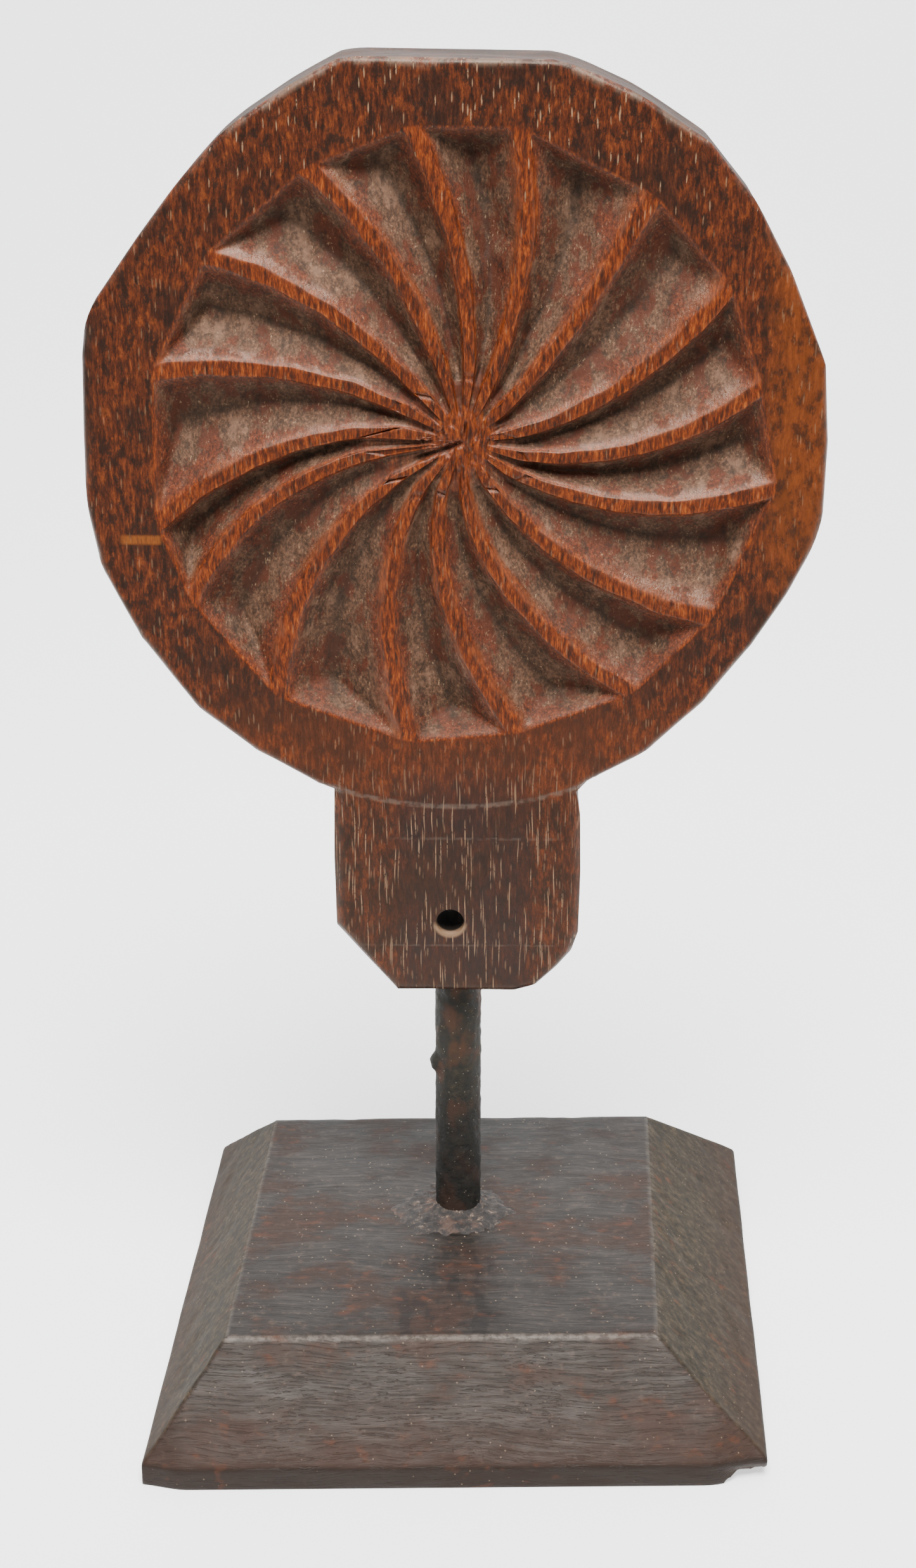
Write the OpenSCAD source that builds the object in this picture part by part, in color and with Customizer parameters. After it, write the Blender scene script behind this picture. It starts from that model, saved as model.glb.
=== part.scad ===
// Carved wooden butter mold with a short handle, standing on an iron rod in a bevelled wooden base.
// Millimetres, +Z up.  The carved face looks along -Y.  The origin is the middle of the object's
// bounding box, on the surface that the base stands on.

/* [Stand base] */
// Side of the base block where it rests
base_side = 101.6; // [90:0.2:115]
// Side of the flat on top of the base, left to right
top_w = 70.8; // [60:0.2:80]
// Side of the flat on top of the base, front to back
top_d = 73; // [60:0.5:80]
// Height of the base block
base_h = 20; // [16:0.5:30]
// Height of the upright edge below the bevels
edge_h = 4; // [2:0.5:8]

/* [Rod] */
// Diameter of the iron rod
rod_d = 8; // [6:0.5:9]
// Depth of the rod's hole in the base
rod_in_base = 15; // [8:0.5:15]
// Length of rod in sight between base and handle
rod_visible = 46.5; // [30:0.5:60]
// Depth of the socket in the end of the handle
socket_depth = 9; // [6:0.5:9.5]
// Play between rod and socket, on the radius
socket_play = 0.05; // [0.01:0.01:0.1]

/* [Mold] */
// Mean radius of the disc
disc_r = 58.5; // [55:0.5:62]
// Thickness of the mold
mold_t = 17; // [15:0.5:22]
// Width of the handle
handle_w = 40.2; // [36:0.2:44]
// Diameter of the hanging hole
hole_d = 4.6; // [3:0.2:6]

/* [Carving] */
// Depth of a hollow at its deepest point
hollow_depth = 5; // [3:0.2:6.5]
// Width of the flat land left between two hollows, at the rim
land_w = 2.9; // [1.5:0.1:3.5]
// Width of a land where it leaves the hub
land_hub_w = 1.8; // [1:0.1:2]
// Depth of the scribed lines on the handle
scribe_depth = 0.3; // [0.2:0.1:0.6]

/* [Hidden] */
$fn = 64;

base_x = 2.2;            // middle of the base, which isn't quite under the rod
base_y = 0.6;
top_x = -0.6;            // middle of the flat on top
top_y = -1.5;
BASE_SKEW = [[-1.4, -1.6], [-1.4, 1.6], [1.4, 0.4], [1.4, -0.4]];    // hand-sawn corners, from front left
TOP_SKEW = [[-1.1, -1], [-1, 1], [1, 1.2], [1.1, -1.2]];

rod_x = 0.4;
rod_y = 2.3;
rod_r = rod_d / 2;
rod_z = base_h - rod_in_base;
rod_len = rod_in_base + rod_visible + socket_depth;

handle_z = base_h + rod_visible;             // lower end of the handle
disc_x = -0.5;                               // disc and carving, from the rod's axis
disc_z = handle_z + 94.5;
hub_x = 0.8;
hub_z = disc_z - 0.2;
face_y = -mold_t / 2;
hole_x = -1.2;
hole_z = handle_z + 12.8;
air = 1;                                     // how far cutting tools reach past a surface

// Corners of the hand-sawn disc, counter-clockwise: angle, and distance outside the mean circle
CORNERS = [[-69, 2], [-59, 1.5], [-47, 0], [-35, -0.8], [-25, -0.5], [-16, 0.4], [-12, 0.3], [0, -0.8],
    [12, -0.5], [27, -1.3], [39, -0.4], [50, 0.5], [62, 0.3], [74, 0.7], [106, 1.2], [114, 0.1], [126, -0.5],
    [136, -1.5], [147, -1.6], [161, 0.9], [167, 0], [179, -1.1], [190, 0], [200, 0.9], [213, 1], [227, 2],
    [238, 2.2], [249, 2.8]];

// Lands between the hollows, counter-clockwise: angle near the hub, half way and at the rim, then rim radius
LANDS = [[-10, 0, 13, 46.5], [13, 22, 32, 47], [43, 49, 53, 47], [67, 72, 81, 48], [86, 92, 100, 48],
    [106, 112, 120, 47.5], [131, 136, 145, 48], [152, 159, 168, 48.5], [174, 184, 196, 49.5],
    [188, 197, 211, 50], [211, 221, 234, 51], [233, 247, 260, 50], [254, 268, 281, 48.5], [278, 291, 304, 49],
    [305, 314, 325, 48.5], [331, 340, 352, 49]];
LAND_R = [14, 30, 50];                       // radii at which the three angles hold
STARTS = [8, 6, 7, 9, 9, 7, 9, 9, 15, 12, 9, 8, 8, 7, 8, 9];    // inner end of the hollow after each land

// How a hollow is scooped: places along it and across it, as fractions
ALONG = [-0.02, 0.04, 0.14, 0.35, 0.6, 0.8, 0.88, 0.94, 1.02];
ACROSS = [-0.08, 0.1, 0.3, 0.5, 0.7, 0.9, 1.08];
start_slope = 0.6;
end_slope = 1.15;

function polar(r, a) = [r * cos(a), r * sin(a)];
function lerp(a, b, t) = a + (b - a) * t;

// A land's angle at radius r: the parabola through its three angles
function land_angle(land, r) =
    land[0] * (r - LAND_R[1]) * (r - LAND_R[2]) / ((LAND_R[0] - LAND_R[1]) * (LAND_R[0] - LAND_R[2]))
    + land[1] * (r - LAND_R[0]) * (r - LAND_R[2]) / ((LAND_R[1] - LAND_R[0]) * (LAND_R[1] - LAND_R[2]))
    + land[2] * (r - LAND_R[0]) * (r - LAND_R[1]) / ((LAND_R[2] - LAND_R[0]) * (LAND_R[2] - LAND_R[1]));

// A point on the edge of a land; side 1 is counter-clockwise of it
function land_edge(land, start, s, side, turn) =
    let (r = lerp(start, land[3], s), w = lerp(land_hub_w, land_w, s))
    polar(r, land_angle(land, r) + turn + side * asin(min(1, w / 2 / r)));

// Depth of a hollow at s along and u across: a soft V, cut off by a slope at each end
function scoop(s, u, length) =
    min(hollow_depth * (0.3 + 0.7 * pow(max(s, 0), 0.8)) * (1 - pow(abs(2 * u - 1), 1.4)),
        s * length * start_slope, (1 - s) * length * end_slope);

module hollow(k) {
    right = LANDS[k];
    left = LANDS[(k + 1) % len(LANDS)];
    turn = k + 1 < len(LANDS) ? 0 : 360;
    length = (right[3] + left[3]) / 2 - STARTS[k];
    rows = len(ALONG);
    cols = len(ACROSS);
    floor_points = [for (s = ALONG)
        let (a = land_edge(right, STARTS[k], s, 1, 0), b = land_edge(left, STARTS[k], s, -1, turn))
        for (u = ACROSS) let (p = lerp(a, b, u)) [hub_x + p[0], face_y + scoop(s, u, length), hub_z + p[1]]];
    lid_points = [for (i = [0:rows - 1], j = [0, cols - 1]) let (p = floor_points[i * cols + j])
        [p[0], face_y - 4 * air, p[2]]];
    lid = rows * cols;
    faces = concat(
        [for (i = [0:rows - 2], j = [0:cols - 2]) let (a = i * cols + j) [a, a + cols, a + 1]],
        [for (i = [0:rows - 2], j = [0:cols - 2]) let (a = i * cols + j) [a + 1, a + cols, a + cols + 1]],
        [for (i = [0:rows - 2]) let (a = lid + 2 * i) [a, a + 1, a + 3, a + 2]],
        [for (i = [0:rows - 2]) [i * cols, lid + 2 * i, lid + 2 * i + 2, (i + 1) * cols]],
        [for (i = [0:rows - 2]) [(i + 1) * cols - 1, (i + 2) * cols - 1, lid + 2 * i + 3, lid + 2 * i + 1]],
        [concat([lid + 1, lid], [for (j = [0:cols - 1]) j])],
        [concat([lid + 2 * rows - 2, lid + 2 * rows - 1], [for (j = [cols - 1:-1:0]) (rows - 1) * cols + j])]);
    polyhedron(concat(floor_points, lid_points), faces);
}

module mold_outline() {
    right = handle_w / 2;
    handle_end = [[-right, handle_z + 12], [-10, handle_z], [9.5, handle_z], [13, handle_z + 1],
        [16.5, handle_z + 4.5], [19, handle_z + 7.5], [right, handle_z + 11], [right, handle_z + 32],
        [right - 0.7, handle_z + 36]];
    disc = [for (c = CORNERS) [disc_x, disc_z] + polar(disc_r + c[1], c[0])];
    polygon(concat(handle_end, disc, [[-right, handle_z + 36.3]]));
}

// Ring-shaped line, and straight lines, scribed on the face of the handle
module scribed_lines() {
    line_w = 0.6;
    ring_r = 61;
    intersection() {
        translate([disc_x, face_y + scribe_depth, disc_z]) rotate([90, 0, 0]) difference() {
            cylinder(r = ring_r + line_w / 2, h = 2 * air, $fn = 128);
            translate([0, 0, -air]) cylinder(r = ring_r - line_w / 2, h = 4 * air, $fn = 128);
        }
        translate([-handle_w / 2, -mold_t, handle_z + 30]) cube([handle_w, mold_t, 8]);
    }
    translate([-15, face_y - air, handle_z + 8.5]) cube([31, air + scribe_depth, line_w]);
    translate([-10, face_y - air, handle_z + 27.8]) cube([26.5, air + scribe_depth, line_w]);
}

module mold() {
    color("sienna") translate([rod_x, rod_y, 0]) difference() {
        translate([0, mold_t / 2, 0]) rotate([90, 0, 0]) linear_extrude(mold_t) mold_outline();
        for (k = [0:len(LANDS) - 1]) hollow(k);
        translate([hole_x, mold_t, hole_z]) rotate([90, 0, 0]) cylinder(d = hole_d, h = 2 * mold_t);
        translate([0, 0, handle_z - air]) cylinder(r = rod_r + socket_play, h = socket_depth + air);
        scribed_lines();
    }
}

// Round bar with a lump of scale on its left side
module rod() {
    lump_r = 2.2;
    color("dimgray") translate([rod_x, rod_y, 0]) union() {
        translate([0, 0, rod_z]) cylinder(r = rod_r, h = rod_len);
        translate([-rod_r + 1.2, -0.8, base_h + 29.5]) sphere(r = lump_r);
    }
}

// Uneven crust of glue and dust left around the foot of the rod
module filler() {
    crust_h = 0.7;
    collar_h = 1.8;
    color("tan") translate([rod_x, rod_y, base_h]) difference() {
        union() {
            linear_extrude(crust_h) polygon([[-12.5, -4], [-9, -7], [-4, -7.5], [1, -9], [6, -7], [9.5, -4.5],
                [10, 0], [8, 4], [4, 6.5], [-3, 6], [-8, 4], [-12, 1]]);
            cylinder(r1 = 6.4, r2 = 4.8, h = collar_h);
        }
        translate([0, 0, -air]) cylinder(r = rod_r, h = collar_h + 2 * air);
    }
}

function quad(x, y, w, d, skew) =
    [for (i = [0:3]) [x + (i == 1 || i == 2 ? 1 : -1) * w / 2, y + (i > 1 ? 1 : -1) * d / 2] + skew[i]];

module base() {
    skin = 0.01;
    color("dimgray") difference() {
        union() {
            linear_extrude(edge_h) polygon(quad(base_x, base_y, base_side, base_side, BASE_SKEW));
            hull() {
                translate([0, 0, edge_h - skin]) linear_extrude(skin)
                    polygon(quad(base_x, base_y, base_side, base_side, BASE_SKEW));
                translate([0, 0, base_h - skin]) linear_extrude(skin)
                    polygon(quad(top_x, top_y, top_w, top_d, TOP_SKEW));
            }
        }
        translate([rod_x, rod_y, rod_z]) cylinder(r = rod_r, h = base_h);
    }
}

base();
rod();
filler();
mold();
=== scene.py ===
"""Carved butter mold on its stand: the detailed pieces, their finishes and the studio around them."""

import math

import bpy
import numpy as np
from bpy.props import FloatProperty, FloatVectorProperty, IntProperty, PointerProperty
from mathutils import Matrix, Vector, noise


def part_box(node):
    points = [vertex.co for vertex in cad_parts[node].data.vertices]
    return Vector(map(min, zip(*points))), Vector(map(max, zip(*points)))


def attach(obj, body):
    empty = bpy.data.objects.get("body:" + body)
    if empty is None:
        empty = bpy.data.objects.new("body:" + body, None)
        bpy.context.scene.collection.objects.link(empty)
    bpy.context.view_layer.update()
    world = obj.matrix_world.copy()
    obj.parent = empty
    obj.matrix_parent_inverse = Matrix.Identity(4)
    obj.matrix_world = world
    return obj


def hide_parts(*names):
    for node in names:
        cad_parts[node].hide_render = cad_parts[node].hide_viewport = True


bl_info = {
    "name": "Carved butter mold",
    "version": (1, 0, 0),
    "blender": (4, 5, 0),
    "location": "View3D > Sidebar > Butter Mold",
    "description": "Builds a hand-carved butter mold on an iron rod and a bevelled wooden base",
    "category": "Object",
}

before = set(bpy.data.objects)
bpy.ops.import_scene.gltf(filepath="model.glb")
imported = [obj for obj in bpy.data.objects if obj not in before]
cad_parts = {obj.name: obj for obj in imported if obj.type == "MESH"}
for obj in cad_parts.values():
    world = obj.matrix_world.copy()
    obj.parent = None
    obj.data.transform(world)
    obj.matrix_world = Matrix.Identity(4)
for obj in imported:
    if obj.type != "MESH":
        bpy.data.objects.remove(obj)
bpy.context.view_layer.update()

MM = 0.001


def hex_rgb(code):
    """Linear colour of an sRGB hex value."""
    parts = [int(code[i:i + 2], 16) / 255 for i in (1, 3, 5)]
    return tuple(c / 12.92 if c <= 0.04045 else ((c + 0.055) / 1.055) ** 2.4 for c in parts)


def corners(node):
    """Lowest and highest corner of a node of the frame, in millimetres."""
    low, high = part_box(node)
    return np.array(low) / MM, np.array(high) / MM


MOLD_LOW, MOLD_HIGH = corners("mold")
BASE_LOW, BASE_HIGH = corners("base")
ROD_LOW, ROD_HIGH = corners("rod")

# The rod stands in the middle of the mold's thickness; its lump of scale widens its box to the left
ROD_R = (ROD_HIGH[1] - ROD_LOW[1]) / 2
ROD_X = ROD_HIGH[0] - ROD_R
ROD_Y = (MOLD_LOW[1] + MOLD_HIGH[1]) / 2
HANDLE_Z = MOLD_LOW[2]
FACE_Y = MOLD_LOW[1]
BACK_Y = MOLD_HIGH[1]
DISC_X = ROD_X - 0.5
DISC_Z = HANDLE_Z + 94.5
HUB_X = ROD_X + 0.8
HUB_Z = DISC_Z - 0.2

# Hand-sawn corners of the disc, counter-clockwise: angle, distance outside the mean circle
CORNERS = [(-69, 2), (-59, 1.5), (-47, 0), (-35, -0.8), (-25, -0.5), (-16, 0.4), (-12, 0.3), (0, -0.8),
           (12, -0.5), (27, -1.3), (39, -0.4), (50, 0.5), (62, 0.3), (74, 0.7), (106, 1.2), (114, 0.1),
           (126, -0.5), (136, -1.5), (147, -1.6), (161, 0.9), (167, 0), (179, -1.1), (190, 0), (200, 0.9),
           (213, 1), (227, 2), (238, 2.2), (249, 2.8)]
DISC_R = 58.5

# Lands between the hollows: angle near the hub, half way and at the rim, then the rim radius
LANDS = [(-10, 0, 13, 46.5), (13, 22, 32, 47), (43, 49, 53, 47), (67, 72, 81, 48), (86, 92, 100, 48),
         (106, 112, 120, 47.5), (131, 136, 145, 48), (152, 159, 168, 48.5), (174, 184, 196, 49.5),
         (188, 197, 211, 50), (211, 221, 234, 51), (233, 247, 260, 50), (254, 268, 281, 48.5),
         (278, 291, 304, 49), (305, 314, 325, 48.5), (331, 340, 352, 49)]
LAND_R = (14, 30, 50)
STARTS = (8, 6, 7, 9, 9, 7, 9, 9, 15, 12, 9, 8, 8, 7, 8, 9)
HUB_GROOVE = 0.75

# Handle, from the rod's axis and its lower end: left side, lower corners, right side
HANDLE_LEFT = [(-20.1, 36.3), (-20.3, 24), (-20.1, 12), (-10, 0)]
HANDLE_RIGHT = [(9.5, 0), (13, 1), (16.5, 4.5), (19, 7.5), (20.1, 11), (20.3, 22), (20.1, 32), (19.4, 36)]

# Mesh rows of the hub, the rim and the handle, and the places of the columns across a land
HUB_ROWS = 28
RIM_ROWS = 23
HANDLE_ROWS = 64
LAND_COLUMNS = (0.0, 0.07, 0.22, 0.5, 0.78, 0.93)

# Radii between which the hollows' grooves run out into the hub, and a knife cut across it: ends, depth, width
GROOVE_FADE = (3.6, 7.0)
KNIFE_CUT = ((-6.6, -2.7), (-0.4, -0.3))
KNIFE_DEPTH = 0.9
KNIFE_WIDTH = 0.45

# The arc about the disc's middle where the handle begins, the hanging hole, and the socket for the rod
NECK_R = 61.0
HOLE_X = ROD_X - 1.2
HOLE_Z = HANDLE_Z + 12.8
SOCKET_DEPTH = 9.0
SOCKET_GAP = 0.05

# The worn back edge and the rings that make the block's sides and close its back
BACK_WORN = 3.2
SIDE_ROWS = 14
TURN_ROWS = 6
BACK_SHARES = (0.02, 0.06, 0.12, 0.2, 0.3, 0.4, 0.5, 0.6, 0.7, 0.8, 0.9)

# The lump of scale on the rod, from its axis and the top of the base, and the spread of the crust of glue
LUMP_PLACE = (0.2 - ROD_R, -1.0, 29.3)
LUMP_SIZE = (2.0, 2.2, 2.3)
CRUST_R = 12.6
CRUST_RISE = 0.78

# Plan of the base block: foot and top corners from front left, counter-clockwise
BASE_EDGE_H = 4.0
BASE_MID = (2.2, 0.6)
BASE_HALF = 50.8
BASE_FOOT = [(BASE_MID[0] - BASE_HALF - 1.4, BASE_MID[1] - BASE_HALF - 1.6),
             (BASE_MID[0] + BASE_HALF - 1.4, BASE_MID[1] - BASE_HALF + 1.6),
             (BASE_MID[0] + BASE_HALF + 1.4, BASE_MID[1] + BASE_HALF + 0.4),
             (BASE_MID[0] - BASE_HALF + 1.4, BASE_MID[1] + BASE_HALF - 0.4)]
TOP_MID = (-0.6, -1.5)
TOP_HALF = (35.4, 36.5)
BASE_TOP = [(TOP_MID[0] - TOP_HALF[0] - 1.1, TOP_MID[1] - TOP_HALF[1] - 1.0),
            (TOP_MID[0] + TOP_HALF[0] - 1.0, TOP_MID[1] - TOP_HALF[1] + 1.0),
            (TOP_MID[0] + TOP_HALF[0] + 1.0, TOP_MID[1] + TOP_HALF[1] + 1.2),
            (TOP_MID[0] - TOP_HALF[0] + 1.1, TOP_MID[1] + TOP_HALF[1] - 1.2)]
BASE_CUTS = 90
FRONT_SWELL = 1.7

# Studio, in metres and degrees: the floor, the wall behind it and the curve between, then the camera
FLOOR_SIZE = 3.0
WALL_Y = 0.62
WALL_H = 1.0
CURVE_R = 0.25
CURVE_STEPS = 12
CAMERA_AT = (0.0072, -0.3896, 0.2559)
CAMERA_TILT = 21.6
CAMERA_TURN = 1.0
CAMERA_LENS = 58.21


# ---------------------------------------------------------------- sizes and colours a user would change

class MoldSizes(bpy.types.PropertyGroup):
    hollow_depth: FloatProperty(
        name="Hollow depth", description="Depth of a hollow at its deepest point", default=5.0 * MM,
        min=0.002, max=0.0065, unit="LENGTH")
    land_width: FloatProperty(
        name="Land width", description="Width of the flat land between two hollows at the rim",
        default=2.35 * MM, min=0.0015, max=0.0035, unit="LENGTH")
    land_hub_width: FloatProperty(
        name="Land width at the hub", description="Width of a land where it leaves the hub",
        default=1.35 * MM, min=0.001, max=0.002, unit="LENGTH")
    edge_round: FloatProperty(
        name="Edge rounding", description="Radius worn onto the edges of the block", default=0.9 * MM,
        min=0.0005, max=0.003, unit="LENGTH")
    hole_width: FloatProperty(
        name="Hanging hole", description="Diameter of the hole through the handle", default=4.6 * MM,
        min=0.003, max=0.006, unit="LENGTH")
    hollow_columns: IntProperty(
        name="Columns across a hollow", description="Mesh columns across one hollow", default=22,
        min=8, max=30)
    hollow_rows: IntProperty(
        name="Rows along a hollow", description="Mesh rows from hub to rim", default=84, min=20, max=110)


class StandSizes(bpy.types.PropertyGroup):
    rod_rings: IntProperty(
        name="Rod rings", description="Mesh rings along the rod", default=150, min=40, max=250)
    rust_depth: FloatProperty(
        name="Rust depth", description="How deep the rust has pitted the rod", default=0.16 * MM, min=0.0,
        max=0.0005, unit="LENGTH")
    base_wear: FloatProperty(
        name="Worn edge", description="Width worn off the edges of the base", default=0.8 * MM, min=0.0002,
        max=0.002, unit="LENGTH")
    grain_relief: FloatProperty(
        name="Grain relief", description="Height of the raised grain on the base", default=0.1 * MM, min=0.0,
        max=0.0003, unit="LENGTH")


class FinishColours(bpy.types.PropertyGroup):
    pore_fat: FloatVectorProperty(
        name="Pores", description="Dried fat in the open pores of the mold", subtype="COLOR",
        default=hex_rgb("#927153"))
    hollow_dust: FloatVectorProperty(
        name="Dust", description="Dust where it lies thickest in the hollows", subtype="COLOR",
        default=hex_rgb("#6f5240"))
    # bare wood along the edges of the lands, also used as a painted highlight on the shoulders of the hollows
    # that face up
    worn_edge_and_highlight: FloatVectorProperty(
        name="Rubbed edges", description="Bare wood along the edges of the lands", subtype="COLOR",
        default=hex_rgb("#7a4a34"))
    rod_rust: FloatVectorProperty(
        name="Rust", description="Rust that shows in patches on the rod", subtype="COLOR",
        default=hex_rgb("#4a2d1c"))
    block_grit: FloatVectorProperty(
        name="Grit", description="Pale grains on the base block", subtype="COLOR", default=hex_rgb("#8a7560"))
    glue: FloatVectorProperty(
        name="Glue", description="Hardened glue where it is clean", subtype="COLOR",
        default=hex_rgb("#553c2f"))
    studio: FloatVectorProperty(
        name="Studio", description="Pale floor and backdrop", subtype="COLOR", default=hex_rgb("#e6e6e6"))


# ---------------------------------------------------------------- small tools

def smooth(low, high, value):
    """Smooth step from 0 at low to 1 at high."""
    t = np.clip((value - low) / (high - low), 0, 1)
    return t * t * (3 - 2 * t)


def soft_min(a, b, reach):
    """The lower of two heights, with the corner between them rounded over reach."""
    h = np.clip(0.5 + 0.5 * (b - a) / reach, 0, 1)
    return b + (a - b) * h - reach * h * (1 - h)


def rough(points, size, octaves=3):
    """Fractal noise from -1 to 1 at points in millimetres, with features of the given sizes."""
    scaled = np.asarray(points, dtype=float) / np.asarray(size, dtype=float)
    return np.array([noise.fractal(Vector(p), 1.0, 2.0, octaves) for p in scaled])


def piece_object(name, vertices, faces):
    """A mesh object at the origin from vertices in millimetres."""
    mesh = bpy.data.meshes.new(name)
    mesh.from_pydata([tuple(v) for v in np.asarray(vertices) * MM], [], faces)
    mesh.update()
    obj = bpy.data.objects.new(name, mesh)
    bpy.context.scene.collection.objects.link(obj)
    return obj


def only(obj):
    """Selects one object and makes it active."""
    bpy.ops.object.select_all(action="DESELECT")
    obj.select_set(True)
    bpy.context.view_layer.objects.active = obj


def points_of(obj):
    """Vertices of an object at the origin, in millimetres."""
    flat = np.empty(len(obj.data.vertices) * 3)
    obj.data.vertices.foreach_get("co", flat)
    return flat.reshape(-1, 3) / MM


def move_points(obj, points):
    """Puts an object's vertices at points in millimetres."""
    obj.data.vertices.foreach_set("co", (np.asarray(points) * MM).ravel())
    obj.data.update()


def choose(obj, kind, test):
    """Opens a piece for editing with only those of its edges or faces selected that pass a test."""
    bpy.ops.object.mode_set(mode="EDIT")
    bpy.ops.mesh.select_mode(type=kind)
    bpy.ops.mesh.select_all(action="DESELECT")
    bpy.ops.object.mode_set(mode="OBJECT")
    for part in obj.data.edges if kind == "EDGE" else obj.data.polygons:
        part.select = test(part)
    bpy.ops.object.mode_set(mode="EDIT")


def span(obj, edge):
    """An edge of a piece as a vector, in metres."""
    a, b = (obj.data.vertices[v].co for v in edge.vertices)
    return a - b


def face_out():
    """Turns the faces of the piece that is being edited outwards, and closes it."""
    bpy.ops.mesh.select_all(action="SELECT")
    bpy.ops.mesh.normals_make_consistent(inside=False)
    bpy.ops.object.mode_set(mode="OBJECT")


def paint(obj, name, values):
    """Stores a number for each vertex, which a material reads by name."""
    layer = obj.data.attributes.new(name, "FLOAT", "POINT")
    layer.data.foreach_set("value", np.asarray(values, dtype=float))


def cut_bore(obj, centre, axis, radius, length):
    """Drills a round hole through or into a piece; centre is the middle of the drill."""
    turn = Vector((0, 0, 1)).rotation_difference(Vector(axis)).to_euler()
    bpy.ops.object.select_all(action="DESELECT")
    bpy.ops.mesh.primitive_cylinder_add(
        vertices=64, radius=radius * MM, depth=length * MM, location=np.array(centre) * MM, rotation=turn)
    drill = bpy.context.object
    only(obj)
    cut = obj.modifiers.new("bore", "BOOLEAN")
    cut.operation = "DIFFERENCE"
    cut.solver = "MANIFOLD"
    cut.object = drill
    bpy.ops.object.modifier_apply(modifier=cut.name)
    bpy.data.objects.remove(drill)


def finish_piece(obj, body, node, material, angle=40):
    """Shades a piece, gives it its finish and ties it to the frame."""
    only(obj)
    bpy.ops.object.shade_smooth_by_angle(angle=math.radians(angle))
    obj.data.materials.clear()
    obj.data.materials.append(material)
    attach(obj, body)
    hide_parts(node)


# ---------------------------------------------------------------- the carving

def ring_point(r, angle):
    """A point at a radius and an angle in degrees around the hub."""
    a = np.radians(angle)
    return np.stack([HUB_X + r * np.cos(a), HUB_Z + r * np.sin(a)], axis=-1)


def land_angle(land, r):
    """A land's angle at radius r: the parabola through its three angles."""
    r0, r1, r2 = LAND_R
    return (land[0] * (r - r1) * (r - r2) / ((r0 - r1) * (r0 - r2))
            + land[1] * (r - r0) * (r - r2) / ((r1 - r0) * (r1 - r2))
            + land[2] * (r - r0) * (r - r1) / ((r2 - r0) * (r2 - r1)))


def land_edge(land, start, s, side, turn, sizes):
    """Points along the edge of a land, whose width wanders as a knife does; side 1 is counter-clockwise."""
    r = start + (land[3] - start) * s
    width = (sizes.land_hub_width + (sizes.land_width - sizes.land_hub_width) * np.power(s, 0.7)) / MM
    track = np.stack([r / 5.5, np.full_like(r, land[1] * 0.37), np.full_like(r, side * 3.0)], axis=-1)
    width = width * (1 + 0.3 * rough(track, 1, 2))
    half = np.degrees(np.arcsin(np.minimum(1, width / 2 / r)))
    return ring_point(r, land_angle(land, r) + turn + side * half)


def scoop(s, u, length, crease, upper, deep):
    """Depth of a hollow at s along and u across. The side that faces up rolls over into its land, the side
    under a land is cut steep, and they meet in a crease; upper is 1 where u = 0 is the side that faces up."""
    first = u < crease
    across = np.where(first, u / crease, (1 - u) / (1 - crease))
    rolled = np.where(first, upper, 1 - upper)
    roll = (1 - np.power(1 - across, 1.4)) * (1 - np.exp(-across / 0.05))
    vee = rolled * roll + (1 - rolled) * (1 - np.power(1 - across, 1.6))
    body = deep * (0.32 + 0.68 * np.power(np.maximum(s, 0), 0.8)) * vee
    ends = soft_min(HUB_GROOVE + s * length * 0.6, (1 - s) * length * 1.15, 0.3)
    return np.maximum(soft_min(body, ends, 0.3), 0), across


def outline_loop():
    """The block's outline in the plane of the face: the disc's corners, then the handle's."""
    disc = []
    for angle, out in CORNERS:
        a = math.radians(angle)
        disc.append((DISC_X + (DISC_R + out) * math.cos(a), DISC_Z + (DISC_R + out) * math.sin(a)))
    left = [(ROD_X + x, HANDLE_Z + z) for x, z in HANDLE_LEFT]
    right = [(ROD_X + x, HANDLE_Z + z) for x, z in HANDLE_RIGHT]
    return disc, left, right


def along(points, count):
    """A number of points spread evenly along a polyline, ends included."""
    points = np.array(points, dtype=float)
    steps = np.concatenate([[0], np.cumsum(np.linalg.norm(np.diff(points, axis=0), axis=1))])
    at = np.linspace(0, steps[-1], count)
    return np.stack([np.interp(at, steps, points[:, i]) for i in (0, 1)], axis=-1)


def reach_outline(polygon, direction):
    """Where a ray from the disc's middle leaves the outline."""
    origin = np.array([DISC_X, DISC_Z])
    best = None
    for a, b in zip(polygon, np.roll(polygon, -1, axis=0)):
        edge = b - a
        cross = direction[0] * edge[1] - direction[1] * edge[0]
        if abs(cross) < 1e-9:
            continue
        to = a - origin
        t = (to[0] * edge[1] - to[1] * edge[0]) / cross
        k = (to[0] * direction[1] - to[1] * direction[0]) / cross
        if t > 0 and -1e-9 <= k <= 1 + 1e-9 and (best is None or t > best):
            best = t
    return origin + direction * best


def distance_to(points, polygon):
    """Distance of points from the nearest side of a polygon."""
    nearest = np.full(len(points), 1e9)
    for a, b in zip(polygon, np.roll(polygon, -1, axis=0)):
        edge = b - a
        t = np.clip(((points - a) @ edge) / (edge @ edge), 0, 1)
        nearest = np.minimum(nearest, np.linalg.norm(points - (a + t[:, None] * edge), axis=1))
    return nearest


class Grid:
    """Collects rows of vertices and the faces between them."""

    def __init__(self):
        self.points = []
        self.faces = []

    def add(self, rows):
        """Adds rows of vertices and returns their numbers, one array to a row."""
        first = len(self.points)
        rows = np.asarray(rows, dtype=float)
        self.points.extend(rows.reshape(-1, rows.shape[-1]))
        return first + np.arange(rows.shape[0] * rows.shape[1]).reshape(rows.shape[0], rows.shape[1])

    def skin(self, rows, closed):
        """Puts four-sided faces between neighbouring rows of vertex numbers."""
        for low, high in zip(rows[:-1], rows[1:]):
            count = len(low) if closed else len(low) - 1
            for j in range(count):
                k = (j + 1) % len(low)
                self.faces.append((int(low[j]), int(low[k]), int(high[k]), int(high[j])))


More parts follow.
